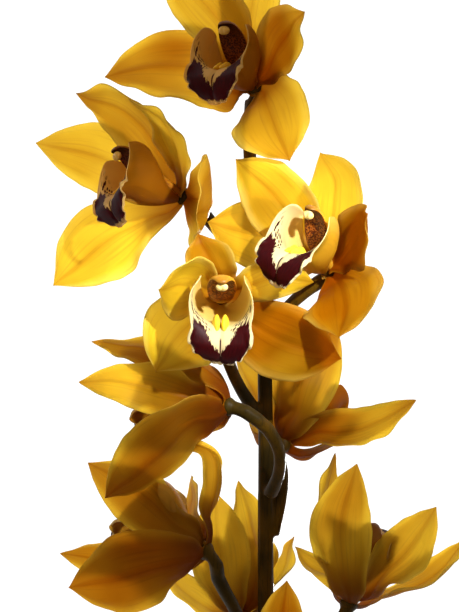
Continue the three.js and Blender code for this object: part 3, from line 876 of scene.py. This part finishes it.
def makeColumn():
    bpy.ops.mesh.primitive_uv_sphere_add(segments=40, ring_count=44, radius=1)
    arm = bpy.context.object
    arm.name = "columnPattern"
    hollow = arm.data.attributes.new("hollow", "FLOAT", "POINT")
    reach = arm.data.attributes.new("reach", "FLOAT", "POINT")
    points = [Vector((0, y, z)) for y, z in column["path"]]
    knots = chordKnots(points)
    marks = [row[0] for row in column["sections"]]
    widths, backs, fronts, hollows = [[row[k] for row in column["sections"]] for k in (1, 2, 3, 4)]
    sideways = Vector((1, 0, 0))
    for vertex in arm.data.vertices:
        polar = math.acos(max(-1.0, min(1.0, -vertex.co.z))) / math.pi
        t = polar
        end = (1 - abs(2 * t - 1) ** 7) ** 0.5
        round_ = Vector((vertex.co.x, vertex.co.y))
        around = math.atan2(round_.x, -round_.y) if round_.length > 1e-6 else 0.0
        here, ahead = midlineAt(points, knots, t)
        back = ahead.cross(sideways)
        lateral, raised = math.sin(around), math.cos(around)
        height = blendAt(marks, backs, t) * raised if raised > 0 else blendAt(marks, fronts, t) * raised
        if raised < 0:
            height += blendAt(marks, hollows, t) * raised * raised
        place = here + sideways * (blendAt(marks, widths, t) * lateral * end) + back * (height * end)
        vertex.co = place / 1000
        hollow.data[vertex.index].value = smooth(0.0, 0.2, -raised) * smooth(0.2, 0.4, t)
        reach.data[vertex.index].value = t
    arm.data.materials.append(columnFlesh)
    bpy.ops.object.shade_smooth()
    return arm


# Anther cap: a small two-lobed lid under the tip of the column

cap = {"centre": (0, 17.6, 34.6), "size": (3.1, 2.3, 1.8), "cleft": 0.5, "tilt": 25}


def makeCap():
    bpy.ops.mesh.primitive_uv_sphere_add(segments=24, ring_count=16, radius=1)
    lid = bpy.context.object
    lid.name = "capPattern"
    tilt = Matrix.Rotation(math.radians(cap["tilt"]), 3, "X")
    for vertex in lid.data.vertices:
        p = vertex.co.copy()
        groove = cap["cleft"] * math.exp(-((p.x / 0.22) ** 2))
        p = Vector((p.x * cap["size"][0], p.y * cap["size"][1], p.z * (cap["size"][2] - groove)))
        vertex.co = (Vector(cap["centre"]) + tilt @ p) / 1000
    lid.data.materials.append(capWax)
    bpy.ops.object.shade_smooth()
    return lid


def placeCopy(pattern, name, seat, shade):
    bpy.ops.object.select_all(action="DESELECT")
    pattern.select_set(True)
    bpy.context.view_layer.objects.active = pattern
    bpy.ops.object.duplicate()
    piece = bpy.context.object
    piece.name = name
    piece.data.transform(seat)
    depth = piece.data.attributes.new("depth", "FLOAT", "POINT")
    depth.data.foreach_set("value", [shade] * len(piece.data.vertices))
    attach(piece, "root")
    return piece


patterns = {"lip": makeLip()}
for name, maker in (("crests", makeCrests), ("column", makeColumn), ("anther_cap", makeCap)):
    bpy.ops.object.select_all(action="DESELECT")
    patterns[name] = maker()
lipShade = [0.75, 0.7, 0.0, 0.0, 0.6, 0.3, 0.6, 0.9, 0.6, 0.6]  # how deep each bloom's heart lies in shade
print("lip, crests, column and cap modelled")

seats = []
for number in range(1, bloomCount + 1):
    label = f"bloom_{number:02d}"
    meshes = {name: mergedMesh(f"{label}_{name}") for name in tepalNames}
    seat, feet = bloomSeat(meshes)
    seats.append(seat)
    for name, paintedShade in zip(tepalNames, shadeByTepal[number - 1]):
        bpy.ops.object.select_all(action="DESELECT")
        sheet = tepalSheet(f"{label}_{name}_sheet", meshes[name], feet[name], seat, paintedShade)
        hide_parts(f"{label}_{name}")
        meshes[name].free()
    for part, pattern in patterns.items():
        piece = placeCopy(pattern, f"{label}_{part}_flesh", seat, lipShade[number - 1])
        if part == "lip" and f"{label}_lip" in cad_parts:
            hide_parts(f"{label}_lip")
    print(label, "made")
for pattern in patterns.values():
    bpy.data.objects.remove(pattern)

# Spike: the stalk and the flower stems

spike = {"voxel": mm(0.9), "columnStart": mm(1.5), "columnEnd": mm(34), "columnClear": mm(4.6), "knobRadius": mm(4.9), "knobDrop": mm(2)}


def makeSpike():
    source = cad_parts["flower_spike"]
    stem = source.copy()
    stem.data = source.data.copy()
    for key in list(stem.keys()):
        del stem[key]
    stem.parent = None
    stem.hide_render = False
    bpy.context.collection.objects.link(stem)
    stem.name = "flower_spike_skin"
    stem.data.materials.clear()
    bpy.ops.object.select_all(action="DESELECT")
    stem.select_set(True)
    bpy.context.view_layer.objects.active = stem
    bpy.ops.object.mode_set(mode="EDIT")
    bpy.ops.mesh.select_all(action="SELECT")
    bpy.ops.mesh.remove_doubles(threshold=mm(0.01))
    bpy.ops.mesh.select_all(action="DESELECT")
    bpy.ops.object.mode_set(mode="OBJECT")
    for seat in seats:  # the plain columns go, because the fleshy ones stand there
        inverse = seat.inverted()
        for vertex in stem.data.vertices:
            p = inverse @ vertex.co
            onColumn = p.z > spike["columnStart"] and p.z < spike["columnEnd"]
            offAxis = math.hypot(p.x, p.y - max(0.0, 0.62 * (p.z - mm(3))))
            if onColumn and offAxis < spike["columnClear"]:
                vertex.select = True
    bpy.ops.object.mode_set(mode="EDIT")
    bpy.ops.mesh.delete(type="VERT")
    bpy.ops.mesh.select_all(action="SELECT")
    bpy.ops.mesh.fill_holes(sides=0)
    bpy.ops.mesh.select_all(action="SELECT")
    bpy.ops.mesh.normals_make_consistent(inside=False)
    bpy.ops.object.mode_set(mode="OBJECT")
    for seat in seats:  # the ovary ends in a knob that the feet of the tepals stand on
        bpy.ops.mesh.primitive_uv_sphere_add(segments=24, ring_count=16, radius=spike["knobRadius"])
        knob = bpy.context.object
        for vertex in knob.data.vertices:
            vertex.co = seat @ Vector((vertex.co.x, vertex.co.y, vertex.co.z * 0.7 - spike["knobDrop"]))
        stem.select_set(True)
        bpy.context.view_layer.objects.active = stem
        bpy.ops.object.join()
    remesh = stem.modifiers.new("skin", "REMESH")
    remesh.mode = "VOXEL"
    remesh.voxel_size = spike["voxel"]
    bpy.ops.object.modifier_apply(modifier="skin")
    relax = stem.modifiers.new("relax", "SMOOTH")
    relax.factor = 0.5
    relax.iterations = 6
    bpy.ops.object.modifier_apply(modifier="relax")
    stem.data.materials.append(stemGreen)
    bpy.ops.object.shade_smooth()
    return stem


stem = makeSpike()
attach(stem, "root")
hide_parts("flower_spike")
print("spike made")

# Floor, light and camera

low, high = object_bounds()
studio = {
    "floorSize": 6.0,
    "floorGlow": 1.0,
    "backPower": 5.1,
    "backAngle": 7,  # degrees across: soft edges on the shadows that petals cast on each other
    "backLean": (-0.22, 0.05, 1.0),
    "keyPlace": (0.5, 0.5, 1.0),
    "keyTarget": (10.0, 14.0, 0.0),
    "keyAngle": 7.5,  # a narrow spot on the two blooms that face the viewer
    "keyBlend": 0.6,
    "keyRadius": 0.02,
    "keyPower": 170,
    "fillPlace": (-0.9, 0.9, 1.3),
    "fillSize": 2.0,
    "fillPower": 9.0,
    "fillColour": "#ffe2ac",
    "skyLight": 0.22,
    "lensDistance": mm(2600),
    "frameHeight": mm(306),  # the part of the spray that the picture takes in, lengthwise
    "sensor": 36.0,
    "aim": (4.25, -4.0, -18.0),  # from the heart of the bloom that faces the camera
}

bpy.ops.mesh.primitive_plane_add(size=studio["floorSize"], location=(0, 0, min(0.0, low.z)))
floor = bpy.context.object
floor.name = "floor"
bpy.ops.object.transform_apply(location=True, rotation=True, scale=True)
opal, tree = newMaterial("opalAcrylic")  # a pale lit table: soft light comes up through it
clear = addNode(tree, "ShaderNodeBsdfTransparent")
glow = addNode(tree, "ShaderNodeEmission", {"Strength": studio["floorGlow"]})
table = addNode(tree, "ShaderNodeAddShader", {0: clear, 1: glow})
addNode(tree, "ShaderNodeOutputMaterial", {0: table})
floor.data.materials.append(opal)

heart = seats[3].translation
aim = heart + local(*studio["aim"])


def addLamp(name, kind, place, target, power, **settings):
    lamp = bpy.data.lights.new(name, kind)
    lamp.energy = power
    for key, value in settings.items():
        setattr(lamp, key, value)
    holder = bpy.data.objects.new(name, lamp)
    holder.location = place
    holder.rotation_euler = (target - place).to_track_quat("-Z", "Y").to_euler()
    bpy.context.collection.objects.link(holder)


addLamp(
    "keyLight",
    "SPOT",
    aim + Vector(studio["keyPlace"]),
    heart + local(*studio["keyTarget"]),
    studio["keyPower"],
    spot_size=math.radians(studio["keyAngle"]),
    spot_blend=studio["keyBlend"],
    shadow_soft_size=studio["keyRadius"],
)
fillPlace = aim + Vector(studio["fillPlace"])
fillTint = colour(studio["fillColour"])[:3]
addLamp("fillLight", "AREA", fillPlace, aim, studio["fillPower"], size=studio["fillSize"], color=fillTint)
tableAngle = math.radians(studio["backAngle"])
addLamp("tableLight", "SUN", aim - Vector(studio["backLean"]), aim, studio["backPower"], angle=tableAngle)

world = bpy.data.worlds.new("studio")
world.use_nodes = True
world.node_tree.nodes["Background"].inputs[0].default_value = colour("#ffffff")
world.node_tree.nodes["Background"].inputs[1].default_value = studio["skyLight"]
bpy.context.scene.world = world
bpy.context.scene.view_settings.view_transform = "Standard"

lens = bpy.data.cameras.new("overhead")
lens.sensor_width = studio["sensor"]
lens.lens = studio["sensor"] * studio["lensDistance"] / studio["frameHeight"]
lens.clip_start = 0.1
lens.clip_end = 20
camera = bpy.data.objects.new("overhead", lens)
camera.location = aim + Vector((0, 0, studio["lensDistance"]))
bpy.context.collection.objects.link(camera)
bpy.context.scene.camera = camera
print("studio set")
